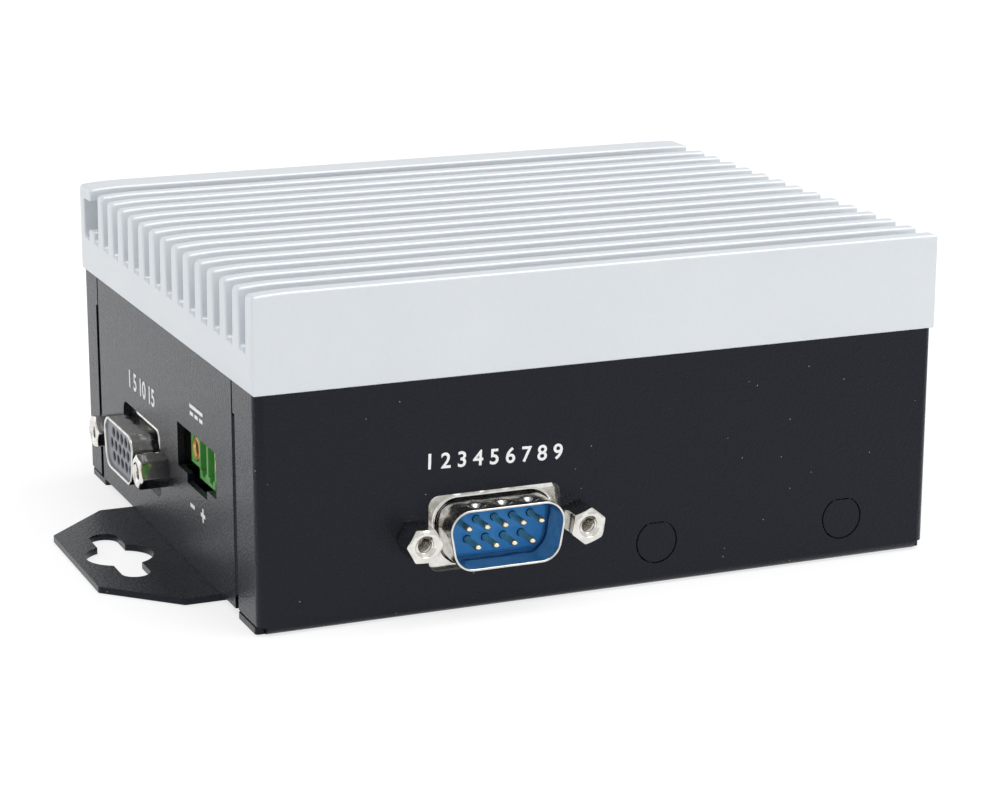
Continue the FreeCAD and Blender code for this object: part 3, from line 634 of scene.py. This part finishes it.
def bentShank(x, z, back):
    # square shank from the contact back and up to the board
    half = nine["shank"] / 2
    front, top = nine["pinBack"], dee["boardUnder"] - nine["z"] - dee["boardGap"]
    outer, inner = nine["bends"]
    corners = [(-back - half, top, 0), (-back - half, z - half, outer), (front, z - half, 0),
               (front, z + half, 0), (half - back, z + half, inner), (half - back, top, 0)]
    loop = roundedLoop(corners, 3)
    return loft([[(x + side * half, p.x, p.y) for p in loop] for side in (-1, 1)])


def makeLocks(name, d, place, replaced):
    locks = [moved(lockPart(side, d, turn), place) for side, turn in zip((-1, 1), d["turns"])]
    makePiece(name, locks, "nickel", [replaced], 38.0, lockFinish)


def makeNine():
    d = nine
    shell = [moved(p, onFront) for p in shellParts(d, d["dents"])]
    makePiece("nineShell", shell, "nickel", ["dsub9_shell"])
    inside = smaller(d, d["wall"] + dee["air"])
    places = [((n - 2) * d["pitch"], d["rows"] / 2) for n in range(5)]
    places += [((n - 1.5) * d["pitch"], -d["rows"] / 2) for n in range(4)]
    floor = roundedLoop(deeCorners(smaller(inside, d["groove"])), 8)
    wells = [circleLoop(x, z, d["well"], 24) for x, z in places]
    parts = [plug(deeCorners(inside), -dee["flangeThick"], -d["plugEdge"], d["plugEdge"]),
             bodyPart(d),
             plateWithHoles(floor, wells, d["floorBack"], d["floor"], d["floorEdge"])]
    makePiece("nineInsulator", [moved(p, onFront) for p in parts], "insulator_blue",
              ["dsub9_insulator"])
    tip = [(d["pinOut"] - back, wide, high) for back, wide, high in d["pinTip"]]
    pins = []
    for x, z in places:
        pins.append(bentShank(x, z, d["backs"][0 if z < 0 else 1]))
        loop = circleLoop(x, z, d["pin"], 20)
        pins.append(loft([[(x + (p.x - x) * wide, out, z + (p.y - z) * high) for p in loop]
                          for out, wide, high in [(d["pinBack"], 1.0, 1.0)] + tip]))
    makePiece("ninePins", [moved(p, onFront) for p in pins], "contact_gold", ["dsub9_pins"])
    makeLocks("nineLocks", d, onFront, "dsub9_jackscrews")


def makeMany():
    d = many
    shell = [moved(p, onLeft) for p in shellParts(d)]
    makePiece("manyShell", shell, "nickel", ["dsub15_shell"])
    inside = deeCorners(smaller(d, d["wall"] + dee["air"]))
    places = []
    for row in (1, 0, -1):
        shift = d["stagger"] if row == 0 else -d["stagger"]
        places += [((n - 2 + shift) * d["pitch"], row * d["rows"]) for n in range(5)]
    holes = [circleLoop(x, z, d["hole"], 24) for x, z in places]
    face = d["out"] - d["faceInset"]
    parts = [plateWithHoles(roundedLoop(inside, 8), holes, d["faceBack"], face, d["faceEdge"]),
             plug(inside, -dee["flangeThick"], d["faceBack"], d["plugEdge"]), bodyPart(d)]
    makePiece("manyInsulator", [moved(p, onLeft) for p in parts], "insulator_grey",
              ["dsub15_insulator"])
    rim, front = d["hole"] - d["lining"], face - d["mouthBack"]
    profile = ((rim, d["faceBack"] + d["liningBack"]), (rim, front),
               (d["mouth"] + d["mouthRim"], front), (d["mouth"], front - d["mouthRound"]),
               (d["mouth"], front - d["mouthDeep"]))
    mouths = [loft([raised(circleLoop(x, z, r, 20), out) for r, out in profile]) for x, z in places]
    makePiece("manySockets", [moved(p, onLeft) for p in mouths], "steel_black")
    makeLocks("manyLocks", d, onLeft, "dsub15_jackscrews")


makeNine()
makeMany()
print("connectors")


# round nuts of the power inlet, pressed into its green body; a dark disc deep in each bore is
# painted shade
nut = {"y": -16.64, "z": 18.3, "place": 5.54, "radius": 1.85, "bore": 1.1, "face": -0.6,
       "length": 6.0, "endRound": 0.1, "count": 36, "threadFrom": 0.3, "threadStep": 0.2,
       # the dark disc in each bore is painted shade for the hole's dark depth; the last two values
       # below set its inset from the bore and how far behind the face its front stands
       "threadDeep": 0.12, "threads": 24, "boreShade": 0.14, "boreShadeBack": 0.3,
       # (inside the radius, behind the face) and (outside the bore, behind the face)
       "rim": ((0.0, 0.25), (0.07, 0.08), (0.22, 0.0)), "mouth": ((0.25, 0.02), (0.05, 0.22))}


def atInlet(across, out, up):
    return dee["leftInner"] - out, nut["y"] + across, nut["z"] + up


def makeNuts():
    n = nut
    radius, bore, face = n["radius"], n["bore"], n["face"]
    end = face - n["length"]
    profile = [(radius - n["endRound"], end), (radius, end + n["endRound"])]
    profile += [(radius - inside, face - back) for inside, back in n["rim"]]
    profile += [(bore + outside, face - back) for outside, back in n["mouth"]]
    profile += [(bore - n["threadDeep"] * (k % 2), face - n["threadFrom"] - k * n["threadStep"])
                for k in range(n["threads"])]
    profile += [(bore, end)]
    nuts, boreShades = [], []
    for side in (-1, 1):
        x = side * n["place"]
        rings = [raised(circleLoop(x, 0, r, n["count"]), out) for r, out in profile]
        nuts.append(loftAround(rings))
        # a dark disc filling each bore behind its mouth: painted shade, not a part of the nut
        boreShade = circleLoop(x, 0, bore - n["boreShade"], 24)
        boreShades.append(loft([raised(boreShade, out) for out in (end, face - n["boreShadeBack"])]))
    makePiece("powerNuts", [moved(p, atInlet) for p in nuts], "nut_brass", ["power_header_nuts"],
              30.0)
    # the dark discs: painted shade in the nut bores
    makePiece("nutBoreShade", [moved(p, atInlet) for p in boreShades], "steel_black")


makeNuts()


# screws in the underside: countersunk heads with a cross
caseScrew = {"x": 47.5, "y": 38.5, "count": 48, "shank": 1.4, "top": 8.0, "cone": 1.0,
             "head": 2.32, "cross": 1.05, "arm": 0.24,
             # (inside the head, height), then (reach, height), then (share of the cross, height)
             "rim": ((0.08, 0.12), (0.0, 0.06), (0.06, 0.02)), "flat": (1.7, 0.01),
             "recess": ((1.0, 0.02), (0.92, 0.12), (0.45, 1.1))}


def makeCaseScrews():
    s = caseScrew
    angles = anglesOf(s["count"])
    thin = [max(min(abs(math.cos(t)), abs(math.sin(t))), 0.001) for t in angles]
    cross = [min(s["cross"], s["arm"] / share) for share in thin]
    steps = [(s["shank"], s["top"]), (s["shank"], s["cone"])]
    steps += [(s["head"] - inside, z) for inside, z in s["rim"]] + [s["flat"]]
    levels = [([r] * s["count"], z) for r, z in steps]
    levels += [([share * r for r in cross], z) for share, z in s["recess"]]
    parts = []
    for x, y in ((-s["x"], -s["y"]), (-s["x"], s["y"]), (s["x"], -s["y"]), (s["x"], s["y"])):
        parts.append(loft([[(x + r * math.cos(t), y + r * math.sin(t), z)
                            for t, r in zip(angles, reaches)] for reaches, z in levels]))
    makePiece("underScrews", parts, "steel_black", ["case_screws"], 30.0)


makeCaseScrews()
print("nuts and screws")


# plain printed marks on the case
marks = {"proud": 0.03, "thick": 0.01, "bold": 0.016, "smooth": 6,
         "frontFace": -44.5, "leftFace": -53.2,
         # words, left end, baseline, width, and on the front the tilt in degrees
         "front": ("1 2 3 4 5 6 7 8 9", -27.9, 21.6, 20.6, -1.9),
         "left": ("1 5 10 15", 18.7, 20.8, 14.0),
         # the sign for direct current: left end, low edge and width of each bar
         "bars": ((-13.9, 25.6, 6.4), (-14.0, 24.5, 1.6), (-16.3, 24.5, 1.6), (-18.6, 24.5, 1.6)),
         "barHigh": 0.55,
         # minus and plus: middle, and whether it is crossed
         "signs": ((-14.1, 10.5, False), (-19.3, 10.5, True)), "signSize": 2.1}


def whitePrint():
    f = newFinish("whitePrint")
    worn = f.noise(0.35, 3.0)
    colour = f.mix(worn, srgb(232, 233, 235), srgb(252, 252, 252))
    return f.surface({"Base Color": colour, "Roughness": worn * 0.2 + 0.5,
                      "Normal": f.bump(worn, 0.01, 0.5)})


def printedText(words, width):
    # thin solid letters that start at zero, as (along, up, out)
    curve = bpy.data.curves.new("printedText", "FONT")
    curve.body = words
    curve.offset = marks["bold"]
    curve.extrude = marks["thick"]
    curve.resolution_u = marks["smooth"]
    holder = bpy.data.objects.new("printedText", curve)
    mesh = bpy.data.meshes.new_from_object(holder)
    low = min(v.co.x for v in mesh.vertices)
    scale = width / (max(v.co.x for v in mesh.vertices) - low)
    points = [((v.co.x - low) * scale, v.co.y * scale, v.co.z * scale) for v in mesh.vertices]
    faces = [tuple(f.vertices) for f in mesh.polygons]
    bpy.data.objects.remove(holder)
    bpy.data.curves.remove(curve)
    return points, faces


def bar(a, b, width, height):
    corners = [(a, b), (a + width, b), (a + width, b + height), (a, b + height)]
    return loft([[(x, y, out) for x, y in corners] for out in (-marks["proud"], marks["proud"])])


def makeMarks():
    ink = whitePrint()
    words, start, base, width, tilt = marks["front"]
    c, s = math.cos(math.radians(tilt)), math.sin(math.radians(tilt))
    text = moved(printedText(words, width),
                 lambda a, b, out: (start + a * c - b * s, marks["frontFace"] - out,
                                    base + a * s + b * c))
    makePiece("frontMark", [text], "case_coating", finish=ink)
    words, left, low, width = marks["left"]
    parts = [moved(printedText(words, width), lambda a, b, out: (left - a, low + b, out))]
    parts += [bar(y - width, z, width, marks["barHigh"]) for y, z, width in marks["bars"]]
    size, high = marks["signSize"], marks["barHigh"]
    for y, z, crossed in marks["signs"]:
        parts.append(bar(y - size / 2, z - high / 2, size, high))
        if crossed:
            parts.append(bar(y - high / 2, z + high / 2, high, size / 2 - high / 2))
            parts.append(bar(y - high / 2, z - size / 2, high, size / 2 - high / 2))
    onPanel = [moved(p, lambda y, z, out: (marks["leftFace"] - out, y, z)) for p in parts]
    makePiece("leftMarks", onPanel, "case_coating", finish=ink)


makeMarks()
print("marks")


# the parts of the frame that stay: welded, with softened edges of these widths
edges = {"bottom_tray": 0.04, "left_io_panel": 0.08, "right_io_panel": 0.08,
         "power_header": 0.12, "power_header_pins": 0.1,
         "lan_jack_shell": 0.12, "lan_jack_insert": 0.12,
         "usb_shell": 0.12, "usb_tongues": 0.12,
         "video_socket_shell": 0.12, "video_socket_tongue": 0.1}
soften = {"weld": 0.02, "segments": 3, "angle": 38}


def softenNode(name, width):
    part = frame["nodes"][name]
    weld = part.modifiers.new("weld", "WELD")
    weld.merge_threshold = soften["weld"] * mm
    edge = part.modifiers.new("edges", "BEVEL")
    edge.width = width * mm
    edge.segments = soften["segments"]
    edge.limit_method = "ANGLE"
    edge.angle_limit = math.radians(soften["angle"])
    edge.harden_normals = True
    edge.use_clamp_overlap = False


for name, width in edges.items():
    softenNode(name, width)
print("edges")


# stage: a pale floor and room that show white behind the object and in its reflections
stage = {"floor": 3.0, "floorDrop": -0.0001, "cloud": 60.0,
         "floorLow": srgb(250, 250, 251), "floorHigh": srgb(253, 253, 253), "white": (1, 1, 1),
         "glow": 0.64, "glowStrength": 1.13, "room": 0.78}
# place and aim in metres, size, power
lights = {"topPanel": ((0.28, -0.2, 0.85), (0, 0, 0.02), (0.7, 0.7), 3.8),
          "frontPanel": ((0.35, -0.9, 0.5), (0, 0, 0.02), (0.6, 0.5), 0.25),
          "backPanel": ((-0.6, 0.75, 0.22), (-0.03, 0.02, 0.02), (0.7, 0.4), 0.5)}


def makeFloor():
    reach = stage["floor"]
    corners = [(-reach, -reach, 0), (reach, -reach, 0), (reach, reach, 0), (-reach, reach, 0)]
    mesh = bpy.data.meshes.new("floor")
    mesh.from_pydata(corners, [], [(0, 1, 2, 3)])
    floor = bpy.data.objects.new("floor", mesh)
    floor.location.z = stage["floorDrop"]
    bpy.context.scene.collection.objects.link(floor)
    f = newFinish("paleFloor")
    colour = f.mix(f.noise(stage["cloud"]), stage["floorLow"], stage["floorHigh"])
    matt = f.node("BsdfPrincipled", {}, {"Base Color": colour, "Roughness": 0.9,
                                         "Specular IOR Level": 0.1}, "BSDF")
    glow = {"Color": stage["white"], "Strength": stage["glowStrength"]}
    bright = f.node("Emission", {}, glow)
    rays = [f.node("LightPath", {}, {}, kind)
            for kind in ("Is Camera Ray", "Is Glossy Ray", "Is Transmission Ray")]
    seen = rays[0] + rays[1] + rays[2]
    shown = f.node("MixShader", {}, {0: seen * stage["glow"], 1: matt, 2: bright})
    f.node("OutputMaterial", {}, {"Surface": shown})
    mesh.materials.append(f.owner)


def makeRoom():
    f = Finish(bpy.data.worlds.new("paleRoom"))
    pale = f.node("Background", {}, {"Color": stage["white"], "Strength": stage["room"]})
    bright = f.node("Background", {}, {"Color": stage["white"]})
    seen = f.node("LightPath", {}, {}, "Is Camera Ray")
    shown = f.node("MixShader", {}, {0: seen, 1: pale, 2: bright})
    f.node("OutputWorld", {}, {"Surface": shown})
    bpy.context.scene.world = f.owner


def areaLight(name, place, aim, size, power):
    lamp = bpy.data.lights.new(name, "AREA")
    lamp.shape = "RECTANGLE"
    lamp.size, lamp.size_y = size
    lamp.energy = power
    holder = bpy.data.objects.new(name, lamp)
    holder.location = place
    holder.rotation_mode = "QUATERNION"
    holder.rotation_quaternion = (Vector(aim) - Vector(place)).to_track_quat("-Z", "Y")
    bpy.context.scene.collection.objects.link(holder)


makeFloor()
makeRoom()
for name, values in lights.items():
    areaLight(name, *values)
print("stage and lights")


# camera at the photograph's view; focal is in pixels of an image that is width wide
camera = {"place": (-167.249, -399.737, 133.635), "focal": 2839.64, "width": 1000.0,
          "sensor": 36.0, "right": (0.92126, -0.38893, 0.00250),
          "down": (-0.09870, -0.23998, -0.96575), "near": 0.01, "far": 50.0}


def makeCamera():
    data = bpy.data.cameras.new("camera")
    data.sensor_fit = "HORIZONTAL"
    data.sensor_width = camera["sensor"]
    data.lens = camera["focal"] / camera["width"] * camera["sensor"]
    data.clip_start, data.clip_end = camera["near"], camera["far"]
    holder = bpy.data.objects.new("camera", data)
    right, up = Vector(camera["right"]).normalized(), -Vector(camera["down"]).normalized()
    back = right.cross(up).normalized()
    up = back.cross(right)
    turn = Matrix((right, up, back)).transposed().to_4x4()
    holder.matrix_world = Matrix.Translation(Vector(camera["place"]) * mm) @ turn
    bpy.context.scene.collection.objects.link(holder)
    bpy.context.scene.camera = holder


makeCamera()
bpy.context.scene.view_settings.view_transform = "Standard"
print("camera")
